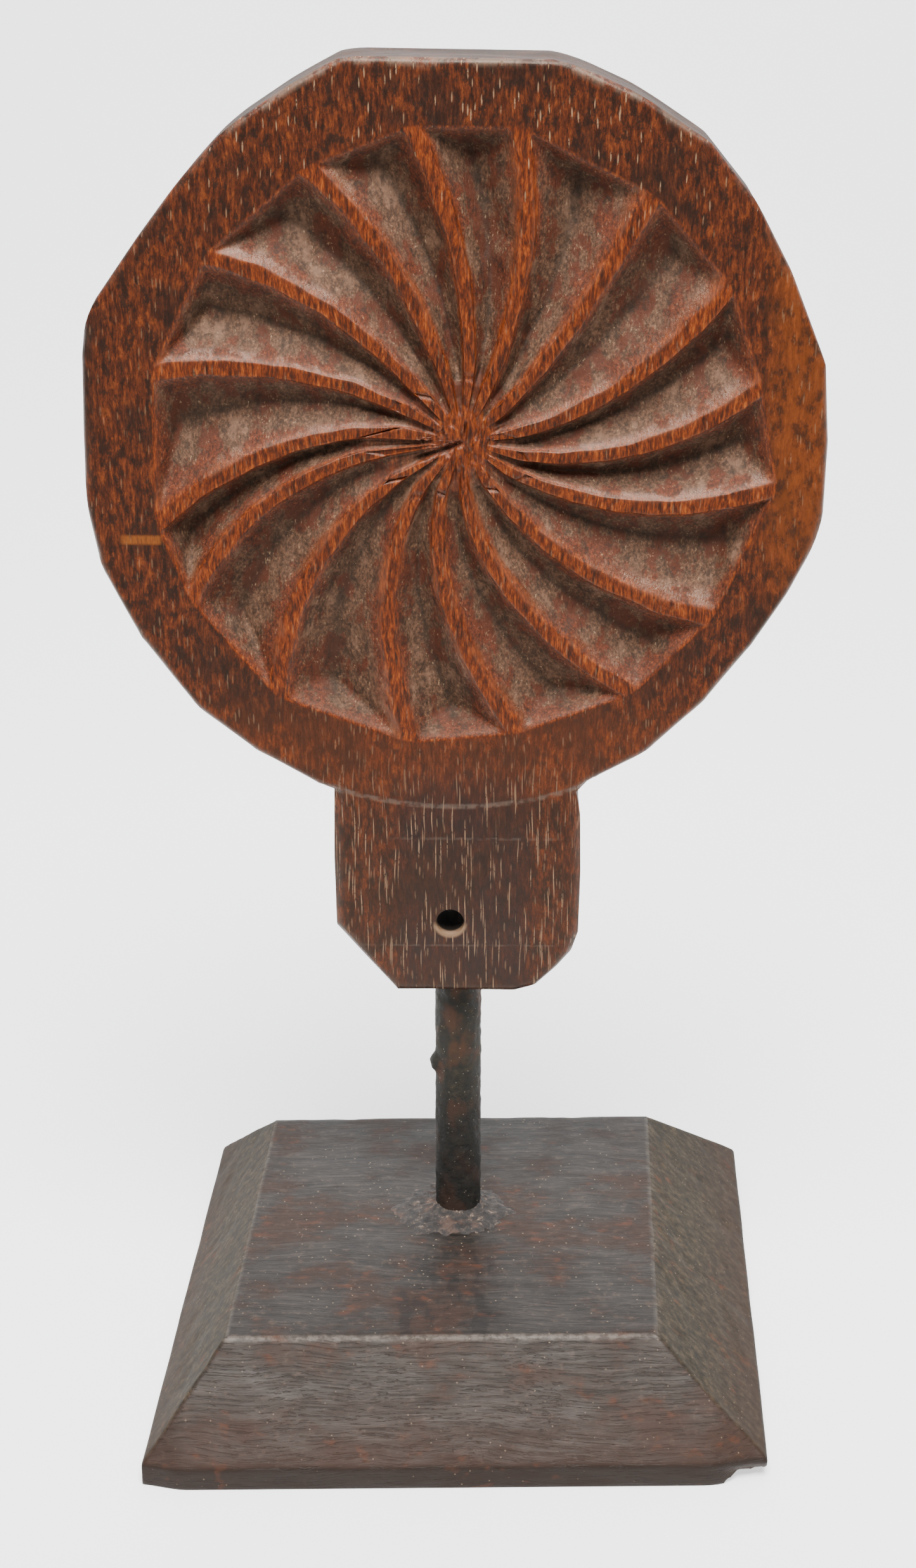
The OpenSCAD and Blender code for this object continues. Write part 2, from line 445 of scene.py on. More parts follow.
def across_steps(count):
    """Places across a hollow from 0 to 1, closer together at its edges and at its crease."""
    t = np.linspace(0, 1, count)
    return t - 0.055 * np.sin(4 * np.pi * t)


def carved_columns(sizes):
    """Columns of the carved field from the hub to the rim. Each holds its points, its depth, how rubbed it
    is, how near a land's edge (in a hollow only on the side that faces up, where a highlight is painted) and
    how near a crease (darkened with dirt and painted shade)."""
    s = np.linspace(0, 1, sizes.hollow_rows)
    s = s + 0.06 * np.sin(2 * np.pi * s) * (s > 0.5)
    zero, one = np.zeros_like(s), np.ones_like(s)
    columns = []
    for k, right in enumerate(LANDS):
        left = LANDS[(k + 1) % len(LANDS)]
        turn = 360 if k + 1 == len(LANDS) else 0
        before = STARTS[k - 1]
        inner = land_edge(right, before, s, -1, 0, sizes)
        outer = land_edge(right, STARTS[k], s, 1, 0, sizes)
        middle = (right[1] + left[1] + turn) / 2
        r = before + (right[3] - before) * s
        notch = 0.5 * np.exp(-((r - (before + 1.2 + 1.5 * math.sin(4.7 * k))) / 0.4) ** 2)
        top = 0.1 * rough(np.stack([r / 3, k * 5 * one, zero], axis=-1), 1, 2) + notch
        for v in LAND_COLUMNS:
            near = max(0, 1 - min(v, 1 - v) / 0.15)
            columns.append((inner + (outer - inner) * v, np.maximum(top, 0), one, near * one, zero))
        far = land_edge(left, STARTS[k], s, -1, turn, sizes)
        length = (right[3] + left[3]) / 2 - STARTS[k]
        facing = math.cos(math.radians(middle))
        crease = 0.5 + 0.1 * facing + 0.03 * math.sin(2.3 * k + 1)
        deep = sizes.hollow_depth / MM * (0.95 + 0.05 * math.sin(5.1 * k))
        for u in across_steps(sizes.hollow_columns)[:-1]:
            depth, across = scoop(s, np.full_like(s, u), length, crease, 0.5 + 0.5 * facing, deep)
            strokes = np.stack([s * length / 9, u * 3.2 * one, k * 7.0 * one], axis=-1)
            depth = np.maximum(depth + smooth(0.2, 1.2, depth) * 0.34 * rough(strokes, 1, 2), 0)
            rolled = 0.5 + 0.5 * facing if u < crease else 0.5 - 0.5 * facing
            # the edge of a land on the side of the hollow that faces up, where the finish paints a pale
            # highlight and glints
            near = smooth(0.34, 0.16, across) * smooth(0.35, 0.7, rolled)
            rub = np.maximum(1 - across, smooth(0.9, 1.0, s))
            # the crease line, which the finish darkens with dirt and painted shade
            dark = np.exp(-((u - crease) / 0.06) ** 2) * smooth(0.02, 0.2, s) * smooth(1.0, 0.92, s)
            columns.append((outer + (far - outer) * u, depth, rub, near, dark))
    return tuple(np.stack([c[i] for c in columns], axis=1) for i in range(5))


def mold_mesh(sizes):
    """The face of the block, from the hub through the carved field and the rim to the handle's end."""
    disc, left, right = outline_loop()
    polygon = np.array(disc + left + right)
    field, depth, rub, edge, crease = carved_columns(sizes)
    cols = field.shape[1]
    grid = Grid()

    def layer(plan, *painted):
        """Rows of vertices that carry their plan, their depth and the painted values, all 0 unless given."""
        painted = painted or (0.0, 0.0, 0.0, 0.0, 0.0)
        extra = [np.broadcast_to(np.asarray(v, dtype=float), plan.shape[:2]) for v in painted]
        return np.concatenate([plan, np.stack(extra, axis=-1)], axis=-1)

    # hub: from its middle out to the inner ends of the hollows, whose grooves run on into it
    hub_mid = np.array([HUB_X, HUB_Z])
    shares = np.linspace(0, 1, HUB_ROWS)[1:-1]
    hub = np.stack([hub_mid + (field[0] - hub_mid) * t for t in shares])
    reach = np.linalg.norm(hub - hub_mid, axis=2)
    fade = smooth(*GROOVE_FADE, reach)
    middle = len(grid.points)
    grid.points.append(np.array([HUB_X, HUB_Z, 0, 1, 0, 0, 1], dtype=float))
    hub_rub = rub[0] * np.ones_like(fade)
    hub_ids = grid.add(layer(hub, depth[0] * fade, hub_rub, edge[0] * fade, crease[0] * fade, 1.0))
    for j in range(cols):
        grid.faces.append((middle, int(hub_ids[0][j]), int(hub_ids[0][(j + 1) % cols])))
    field_ids = grid.add(layer(field, depth, rub, edge, crease, 1.0))

    # rim: out to the disc's edge, or to the arc where the handle begins
    ends, neck = [], []
    for j in range(cols):
        ray = field[-1, j] - np.array([DISC_X, DISC_Z])
        ray = ray / np.linalg.norm(ray)
        hit = reach_outline(polygon, ray)
        neck.append(hit[1] < HANDLE_Z + 40 and abs(hit[0] - ROD_X) < 21)
        ends.append(np.array([DISC_X, DISC_Z]) + ray * NECK_R if neck[-1] else hit)
    ends, neck = np.array(ends), np.array(neck)
    first, last = np.nonzero(neck)[0][[0, -1]]
    worn = sum(np.roll(ends, i, axis=0) for i in (-2, -1, 0, 1, 2)) / 5
    keep = sum(np.roll(neck, i) for i in (-2, -1, 0, 1, 2)) > 0
    ends = np.where(keep[:, None], ends, worn)
    shares = np.linspace(0, 1, RIM_ROWS)[1:]
    shares = shares - 0.04 * np.sin(2 * np.pi * shares)
    rim = np.stack([field[-1] + (ends - field[-1]) * t for t in shares])
    # the arc's two end points sit on the sides of the handle
    rim[-1, first] = left[0]
    rim[-1, last] = right[-1]
    rim_ids = grid.add(layer(rim))
    grid.skin(list(hub_ids) + list(field_ids) + list(rim_ids), closed=True)

    # handle: rows from the arc down to the end, as wide as the outline there
    arc = rim[-1, first:last + 1]
    left_side = along(left, HANDLE_ROWS + 1)
    right_side = along(list(reversed(right)), HANDLE_ROWS + 1)
    share = np.linspace(0, 1, len(arc))[:, None]
    sag = arc - (arc[0] + (arc[-1] - arc[0]) * share)
    handle = []
    for i in range(1, HANDLE_ROWS + 1):
        row = left_side[i] + (right_side[i] - left_side[i]) * share
        handle.append(row + sag * (1 - i / HANDLE_ROWS) ** 2)
    handle = np.array(handle)
    handle_ids = grid.add(layer(handle))
    grid.skin([rim_ids[-1][first:last + 1]] + list(handle_ids), closed=False)

    # the loop round the whole face, counter-clockwise
    outer = rim_ids[-1]
    loop = np.concatenate([outer[last + 1:], outer[:first + 1], handle_ids[:, 0], handle_ids[-1, 1:],
                           handle_ids[::-1, -1][1:], outer[last:last + 1]])
    return grid, loop, polygon


def shape_mold(sizes):
    """Vertices, faces and painted values of the block, its edges rounded and its surfaces worked by hand."""
    grid, loop, polygon = mold_mesh(sizes)
    data = np.array(grid.points)
    plan, depth, rub, edge, crease, carved = data[:, :2], data[:, 2].copy(), *data[:, 3:7].T

    flat = np.stack([plan[:, 0], np.zeros(len(plan)), plan[:, 1]], axis=-1)
    radius = sizes.edge_round / MM * (1 + 0.45 * rough(flat, 14, 2))
    near = distance_to(plan, polygon)
    inside = np.clip(near / radius, 0, 1)
    depth += radius * (1 - np.sqrt(1 - (1 - inside) ** 2))
    low = smooth(0.2, 1.2, depth)
    depth += 0.3 * (0.5 + 0.5 * rough(flat, 24, 2)) * (1 - low)
    depth += low * carved * (0.17 * rough(flat, (2.2, 1, 5), 3) + 0.1 * rough(flat + 50, 1.2, 2))
    depth += (1 - low) * 0.035 * rough(flat + 90, (0.8, 1, 5), 2)
    # a knife cut across the hub
    a, b = np.array(KNIFE_CUT) + (HUB_X, HUB_Z)
    t = np.clip((plan - a) @ (b - a) / ((b - a) @ (b - a)), 0, 1)
    off = np.linalg.norm(plan - (a + t[:, None] * (b - a)), axis=1)
    depth += KNIFE_DEPTH * np.exp(-(off / KNIFE_WIDTH) ** 2)
    # the hub is nicked by the ends of many strokes
    at_hub = smooth(8.5, 4.5, np.hypot(plan[:, 0] - HUB_X, plan[:, 1] - HUB_Z))
    depth += at_hub * 0.7 * np.maximum(0, rough(flat + 33, (0.9, 1, 2.8), 2) + 0.1)
    depth = np.maximum(depth, 0.02)
    points = np.stack([plan[:, 0], FACE_Y + depth, plan[:, 1]], axis=-1)

    # sides: rings from the face's edge to the back, then rings closing the back
    ring = points[loop]
    centre = np.array([DISC_X, DISC_Z])

    def inward(loop_points, by):
        """A ring's plan pulled towards the disc's middle."""
        out = np.stack([loop_points[:, 0], loop_points[:, 2]], axis=-1) - centre
        return out * (1 - by / np.linalg.norm(out, axis=1))[:, None] + centre

    def ring_at(out, y):
        """A ring from its plan and its distance back."""
        return np.stack([out[:, 0], np.broadcast_to(y, len(out)), out[:, 1]], axis=-1)

    rings = []
    for i in range(1, SIDE_ROWS + 1):
        rings.append(ring_at(ring[:, ::2], ring[:, 1] + (BACK_Y - BACK_WORN - ring[:, 1]) * i / SIDE_ROWS))
    for i in range(1, TURN_ROWS + 1):
        turn = math.radians(90 * i / TURN_ROWS)
        out = inward(ring, BACK_WORN * (1 - math.cos(turn)) * np.ones(len(ring)))
        rings.append(ring_at(out, BACK_Y - BACK_WORN * (1 - math.sin(turn))))
    last = rings[-1][:, ::2]
    for t in BACK_SHARES:
        rings.append(ring_at(last + (centre - last) * t, BACK_Y))
    rings = np.array(rings)
    hand = rough(rings.reshape(-1, 3), (9, 5, 9), 2).reshape(rings.shape[:2])
    for i in range(SIDE_ROWS - 1):
        flow = math.sin(math.pi * (i + 1) / SIDE_ROWS) ** 0.5
        rings[i][:, ::2] = inward(rings[i], (0.3 + 0.3 * hand[i]) * flow)
    for i in range(SIDE_ROWS + TURN_ROWS, len(rings)):
        rings[i][:, 1] -= 0.2 + 0.2 * hand[i]

    body = Grid()
    body.points = list(points)
    body.faces = grid.faces
    ring_ids = body.add(rings)
    body.skin([loop] + list(ring_ids), closed=True)
    tail = len(body.points)
    body.points.append(np.array([DISC_X, BACK_Y - 0.2, DISC_Z]))
    inner = ring_ids[-1]
    for j in range(len(inner)):
        body.faces.append((int(inner[j]), int(inner[(j + 1) % len(inner)]), tail))

    more = np.zeros(rings.shape[0] * rings.shape[1] + 1)
    painted = {
        "cut": carved * smooth(0.3, 1.1, depth),
        "rub": rub,
        "land_edge": edge * carved,
        "crease": crease,
        "carved": carved,
        "rounding": smooth(1.6, 0.6, near / np.maximum(radius, 0.1)),
        "side": np.zeros(len(plan)),
    }
    return np.array(body.points), body.faces, {
        name: np.concatenate([values, more + (name == "side")]) for name, values in painted.items()}


# ---------------------------------------------------------------- operators

class BUTTERMOLD_OT_mold(bpy.types.Operator):
    """Carves the mold: disc, handle, sixteen hollows, hanging hole and socket"""
    bl_idname = "buttermold.mold"
    bl_label = "Carved mold"

    def execute(self, context):
        sizes = context.scene.mold_sizes
        points, faces, painted = shape_mold(sizes)
        obj = piece_object("carved_mold", points, faces)
        for name, values in painted.items():
            paint(obj, name, values)
        only(obj)
        bpy.ops.object.mode_set(mode="EDIT")
        face_out()
        hole_r = sizes.hole_width / MM / 2
        cut_bore(obj, (HOLE_X, ROD_Y, HOLE_Z), (0, 1, 0), hole_r, 3 * (BACK_Y - FACE_Y))
        cut_bore(obj, (ROD_X, ROD_Y, HANDLE_Z), (0, 0, 1), ROD_R + SOCKET_GAP, 2 * SOCKET_DEPTH)
        finish_piece(obj, "mold", "mold", polished_mold_wood(context.scene.finishes), angle=50)
        return {"FINISHED"}


class BUTTERMOLD_OT_rod(bpy.types.Operator):
    """Makes the rusted iron rod, with its pits and its lump of scale"""
    bl_idname = "buttermold.rod"
    bl_label = "Iron rod"

    def execute(self, context):
        sizes = context.scene.stand_sizes
        height = ROD_HIGH[2] - ROD_LOW[2]
        bpy.ops.object.select_all(action="DESELECT")
        bpy.ops.mesh.primitive_cylinder_add(
            vertices=72, radius=ROD_R * MM, depth=height * MM,
            location=(ROD_X * MM, ROD_Y * MM, (ROD_LOW[2] + height / 2) * MM))
        obj = context.object
        obj.name = obj.data.name = "iron_rod"
        bpy.ops.object.transform_apply(location=True, rotation=True, scale=True)
        choose(obj, "EDGE", lambda edge: abs(span(obj, edge).z) > 0.5 * height * MM)
        bpy.ops.mesh.subdivide(number_cuts=sizes.rod_rings)
        bpy.ops.object.mode_set(mode="OBJECT")
        points = points_of(obj)
        out = points[:, :2] - (ROD_X, ROD_Y)
        reach = np.linalg.norm(out, axis=1)
        wall = reach > ROD_R * 0.9
        above_base = smooth(BASE_HIGH[2] - 0.5, BASE_HIGH[2] + 0.5, points[:, 2])
        in_sight = above_base * smooth(HANDLE_Z, HANDLE_Z - 0.7, points[:, 2])
        depth = sizes.rust_depth / MM
        scale = 0.8 * depth * (rough(points, 2.2, 3) + 0.6 * rough(points + 40, 0.7, 2)) - depth * 0.4
        flakes = np.maximum(0, rough(points + 11, (3, 3, 5), 2) - 0.35) * 0.9
        lump_at = np.array([ROD_X, ROD_Y, BASE_HIGH[2]]) + LUMP_PLACE
        lump = smooth(1.0, 0.25, np.linalg.norm((points - lump_at) / LUMP_SIZE, axis=1))
        grow = (scale + flakes * 0.5) * in_sight + lump
        points[:, :2] += np.where(wall, grow / np.maximum(reach, 1e-6), 0)[:, None] * out
        move_points(obj, points)
        finish_piece(obj, "stand", "rod", rusted_iron(context.scene.finishes), angle=45)
        return {"FINISHED"}


class BUTTERMOLD_OT_base(bpy.types.Operator):
    """Makes the bevelled base block, with worn edges and raised grain"""
    bl_idname = "buttermold.base"
    bl_label = "Wooden base"

    def execute(self, context):
        sizes = context.scene.stand_sizes
        height = BASE_HIGH[2] - BASE_LOW[2]
        bpy.ops.object.select_all(action="DESELECT")
        bpy.ops.mesh.primitive_cube_add(size=1)
        obj = context.object
        obj.name = obj.data.name = "bevelled_base"
        rows = [(0, BASE_FOOT), (BASE_EDGE_H, BASE_FOOT), (height, BASE_TOP)]
        choose(obj, "FACE", lambda face: face.normal.z > 0.5)
        bpy.ops.mesh.extrude_region_move(TRANSFORM_OT_translate={"value": (0, 0, 1)})
        bpy.ops.object.mode_set(mode="OBJECT")
        for v in obj.data.vertices:
            level = round(v.co.z + 0.5)
            z, quad = rows[level]
            x, y = quad[(0 if v.co.y < 0 else 3) if v.co.x < 0 else (1 if v.co.y < 0 else 2)]
            v.co = (x * MM, y * MM, (BASE_LOW[2] + z) * MM)
        bpy.ops.object.mode_set(mode="EDIT")
        bpy.ops.mesh.select_all(action="SELECT")
        bpy.ops.mesh.bevel(
            offset=sizes.base_wear, segments=3, profile=0.6, affect="EDGES", clamp_overlap=True)
        choose(obj, "EDGE", lambda edge: span(obj, edge).length > 2 * MM)
        bpy.ops.mesh.subdivide(number_cuts=BASE_CUTS)
        face_out()
        points = points_of(obj)
        normals = np.empty(len(points) * 3)
        obj.data.vertices.foreach_get("normal", normals)
        normals = normals.reshape(-1, 3)
        relief = sizes.grain_relief / MM
        flow = points + (0, 0, 1) * rough(points, (18, 18, 9), 2)[:, None] * 2.5
        grain = rough(flow, (13, 2.6, 2.2), 2)
        facing = smooth(-0.15, -0.4, normals[:, 1])
        lift = relief * grain * (0.12 + 0.45 * facing) + 0.1 * rough(points + 30, 17, 2) - 0.26
        under = smooth(-0.3, -0.9, normals[:, 2])
        edge = smooth(0.2, 0.45, np.abs(normals[:, 2])) * smooth(0.999, 0.97, np.abs(normals[:, 2]))
        lift -= 0.25 * edge * np.maximum(0, rough(points + 70, (6, 6, 6), 2))
        points += normals * (lift * (1 - under))[:, None]
        # the front swells a little between its corners
        swell = smooth(0, 9, 50.5 - np.abs(points[:, 0] + 0.5)) * smooth(24, 0, points[:, 2])
        points[:, 1] -= FRONT_SWELL * swell * smooth(-30, -40, points[:, 1])
        # the lower front right corner is broken away
        corner = points - np.array([*BASE_FOOT[1], BASE_LOW[2]])
        torn = smooth(-7.5, -5.5, corner[:, 0] + 0.8 * rough(points, 2, 2)) * smooth(4.0, 2.6, corner[:, 1])
        floor_z = BASE_LOW[2] + torn * (2.1 + 0.5 * rough(points + 5, 1.6, 2))
        points[:, 2] = np.maximum(points[:, 2], floor_z)
        points[:, 1] += 0.5 * torn * smooth(3.2, 1.8, corner[:, 2])
        move_points(obj, points)
        paint(obj, "torn", torn * smooth(3.0, 2.2, corner[:, 2]))
        # painted highlight: a pale line along the top edge of the bevels, strongest at the front
        crest_highlight = smooth(1.1, 0.5, BASE_HIGH[2] - points[:, 2]) * edge * facing.clip(0.25, 1)
        paint(obj, "crest_highlight", crest_highlight)
        paint(obj, "front", smooth(0.2, 0.4, -normals[:, 1]))
        paint(obj, "ends", smooth(0.2, 0.4, np.abs(normals[:, 0])) * smooth(0.5, 0.3, -normals[:, 1]))
        finish_piece(obj, "stand", "base", stained_block_wood(context.scene.finishes), angle=35)
        return {"FINISHED"}


class BUTTERMOLD_OT_filler(bpy.types.Operator):
    """Makes the crust of dried glue around the foot of the rod"""
    bl_idname = "buttermold.filler"
    bl_label = "Glue crust"

    def execute(self, context):
        top = BASE_HIGH[2] - 0.6
        bpy.ops.object.select_all(action="DESELECT")
        bpy.ops.mesh.primitive_uv_sphere_add(segments=140, ring_count=72, radius=1, location=(0, 0, 0))
        obj = context.object
        obj.name = obj.data.name = "glue_crust"
        unit = points_of(obj) * MM
        angle = np.arctan2(unit[:, 1], unit[:, 0])
        reach = np.hypot(unit[:, 0], unit[:, 1])
        around = np.stack([np.cos(angle) * 9, np.sin(angle) * 9, np.zeros(len(angle))], axis=-1)
        spread = CRUST_R + 1.6 * np.cos(angle - 3.4) + 1.0 * np.cos(2 * angle) + 3.0 * rough(around, 2.6, 4)
        r = spread * np.arcsin(np.clip(reach, 0, 1)) / (math.pi / 2)
        x = ROD_X + r * np.cos(angle)
        y = ROD_Y - 0.8 + r * np.sin(angle)
        flat = np.stack([x, y, np.zeros(len(x))], axis=-1)
        from_rod = np.hypot(x - ROD_X, y - ROD_Y)
        shoulder = 1.2 * np.exp(-np.maximum(0, from_rod - ROD_R) / 1.2)
        crumbs = 0.3 * rough(flat, 1.9, 4) + 0.4 * np.maximum(0, rough(flat + 20, 1.0, 2))
        rise = CRUST_RISE + shoulder + crumbs * smooth(0.0, 0.3, 1 - reach)
        z = np.where(unit[:, 2] > 0, top + np.maximum(rise, 0.1) * smooth(1.0, 0.8, reach),
                     top - 0.2 * np.sqrt(np.clip(1 - reach, 0, 1)))
        move_points(obj, np.stack([x, y, z], axis=-1))
        finish_piece(obj, "stand", "filler", dried_glue(context.scene.finishes), angle=60)
        return {"FINISHED"}


class BUTTERMOLD_OT_stage(bpy.types.Operator):
    """Sets up the pale floor, the soft studio light and the camera"""
    bl_idname = "buttermold.stage"
    bl_label = "Studio"

    def execute(self, context):
        bpy.ops.object.select_all(action="DESELECT")
        middle = (0, WALL_Y - FLOOR_SIZE / 2, BASE_LOW[2] * MM)
        bpy.ops.mesh.primitive_plane_add(size=FLOOR_SIZE, location=middle)
        floor = context.object
        floor.name = "studio_floor"
        # the back edge is drawn up into a wall, in a curve, so floor and wall meet without a line
        vertices = floor.data.vertices
        choose(floor, "EDGE", lambda edge: all(vertices[v].co.y > 0.4 * FLOOR_SIZE for v in edge.vertices))
        step = CURVE_R * math.radians(90 / CURVE_STEPS)
        for i in range(CURVE_STEPS):
            turn = math.radians(90 * (i + 0.5) / CURVE_STEPS)
            bpy.ops.mesh.extrude_region_move(
                TRANSFORM_OT_translate={"value": (0, step * math.cos(turn), step * math.sin(turn))})
        bpy.ops.mesh.extrude_region_move(TRANSFORM_OT_translate={"value": (0, 0, WALL_H)})
        bpy.ops.object.mode_set(mode="OBJECT")
        bpy.ops.object.transform_apply(location=True, rotation=True, scale=True)
        bpy.ops.object.shade_smooth()
        floor.data.materials.append(pale_floor(context.scene.finishes))

        world = bpy.data.worlds.new("studio_world")
        context.scene.world = world
        world.use_nodes = True
        sky = world.node_tree.nodes["Background"]
        sky.inputs["Color"].default_value = (0.95, 0.97, 1.0, 1)
        sky.inputs["Strength"].default_value = 0.35

        area_light("overhead_softbox", (0.03, -0.42, 0.93), (0, -0.02, 0.12), 0.5, 31)
        area_light("front_fill", (-0.45, -1.2, 0.5), (0, 0, 0.12), 0.8, 1.6)
        area_light("backdrop_light", (0, 0.35, 1.1), (0, 0.75, 0.1), 0.9, 9)

        camera_data = bpy.data.cameras.new("camera")
        camera = bpy.data.objects.new("camera", camera_data)
        context.scene.collection.objects.link(camera)
        camera.location = CAMERA_AT
        camera.rotation_euler = (math.radians(90 - CAMERA_TILT), 0, math.radians(CAMERA_TURN))
        camera_data.lens = CAMERA_LENS
        camera_data.sensor_width = 36
        context.scene.camera = camera
        return {"FINISHED"}


def area_light(name, at, to, size, power):
    """A square soft light aimed at a point."""
    data = bpy.data.lights.new(name, "AREA")
    data.size = size
    data.energy = power
    light = bpy.data.objects.new(name, data)
    bpy.context.scene.collection.objects.link(light)
    light.location = at
    light.rotation_euler = (Vector(to) - Vector(at)).to_track_quat("-Z", "Y").to_euler()


# ---------------------------------------------------------------- finishes

# Settings that a kind of node has here unless others are given
USUAL = {
    "Math": {"operation": "MULTIPLY"},
    "Mix": {"data_type": "RGBA"},
    "MapRange": {"interpolation_type": "SMOOTHSTEP"},
}


def new_finish(name):
    """An empty node material and its tree."""
    material = bpy.data.materials.new(name)
    material.use_nodes = True
    return material, material.node_tree


def shade(colour):
    """A colour with its alpha, from an sRGB hex value or a linear colour."""
    return (*(hex_rgb(colour) if isinstance(colour, str) else colour), 1)


def join(tree, socket, value):
    """Links an output to an input, or sets the input to a value."""
    if isinstance(value, bpy.types.NodeSocket):
        tree.links.new(value, socket)
    else:
        socket.default_value = shade(value) if socket.type == "RGBA" else value


def put(tree, kind, *ordered, out=None, stops=(), **named):
    """Adds a node and returns one of its outputs, the first unless one is named. Values in order go to the
    inputs in use. A named value with a capital is an input, any other a setting. Stops are the shades of a
    ramp."""
    node = tree.nodes.new("ShaderNode" + kind)
    for key, value in {**USUAL.get(kind, {}), **named}.items():
        if key.islower():
            setattr(node, key, value)
    for socket, value in zip([s for s in node.inputs if s.enabled], ordered):
        join(tree, socket, value)
    for key, value in named.items():
        if not key.islower():
            join(tree, node.inputs[key], value)
    if stops:
        points = node.color_ramp.elements
        while len(points) < len(stops):
            points.new(0.5)
        for point, (at, colour) in zip(points, stops):
            point.position = at
            point.color = shade(colour)
    return next(s for s in node.outputs if s.enabled and out in (None, s.name))


def mask(tree, *parts):
    """Where something shows: the product of its parts. A part that is a tuple eases a value between two
    bounds, from 0 to 1 unless two more numbers are given."""
    product = None
    for part in parts:
        part = put(tree, "MapRange", *part) if isinstance(part, tuple) else part
        product = part if product is None else put(tree, "Math", product, part)
    return product


def coat(tree, under, colour, *parts):
    """A colour laid over another as thickly as its mask says."""
    return put(tree, "Mix", mask(tree, *parts), under, colour)


def band(tree, value, at, half, soft):
    """1 where a length is within half of at, fading over soft, all in millimetres."""
    off = put(tree, "Math", put(tree, "Math", value, at * MM, operation="SUBTRACT"), operation="ABSOLUTE")
    return mask(tree, (off, (half + soft) * MM, half * MM))


def rest_of(tree, value):
    """1 less a value."""
    return put(tree, "Math", 1.0, value, operation="SUBTRACT")


def pattern(tree, size, offset=(0, 0, 0), warp=None, kind="TexNoise", **inputs):
    """A texture on Object coordinates whose features have a size in millimetres along x, y and z. A warp of
    (size, amount) bends it, also in millimetres."""
    where = put(tree, "TexCoord", out="Object")
    if warp:
        bend = put(tree, "TexNoise", where, 1 / (warp[0] * MM), 1.0, out="Color")
        bend = put(tree, "VectorMath", bend, (0.5, 0.5, 0.5), operation="SUBTRACT")
        bend = put(tree, "VectorMath", bend, warp[1] * MM, operation="SCALE")
        where = put(tree, "VectorMath", where, bend, operation="ADD")
    size = size if isinstance(size, tuple) else (size, size, size)
    place = put(tree, "Mapping", where, Location=offset, Scale=tuple(1 / (s * MM) for s in size))
    return put(tree, kind, place, Scale=1.0, **inputs)


def relief(tree, strength, depth, *parts):
    """Bumps of a depth in millimetres, from the sum of masks."""
    height = mask(tree, *parts[0])
    for part in parts[1:]:
        height = put(tree, "Math", height, mask(tree, *part), operation="ADD")
    return put(tree, "Bump", Height=height, Strength=strength, Distance=depth * MM)


def dress(material, values):
    """Sets or links the inputs of a material's shader, by name."""
    tree = material.node_tree
    for name, value in values.items():
        join(tree, tree.nodes["Principled BSDF"].inputs[name], value)
    return material


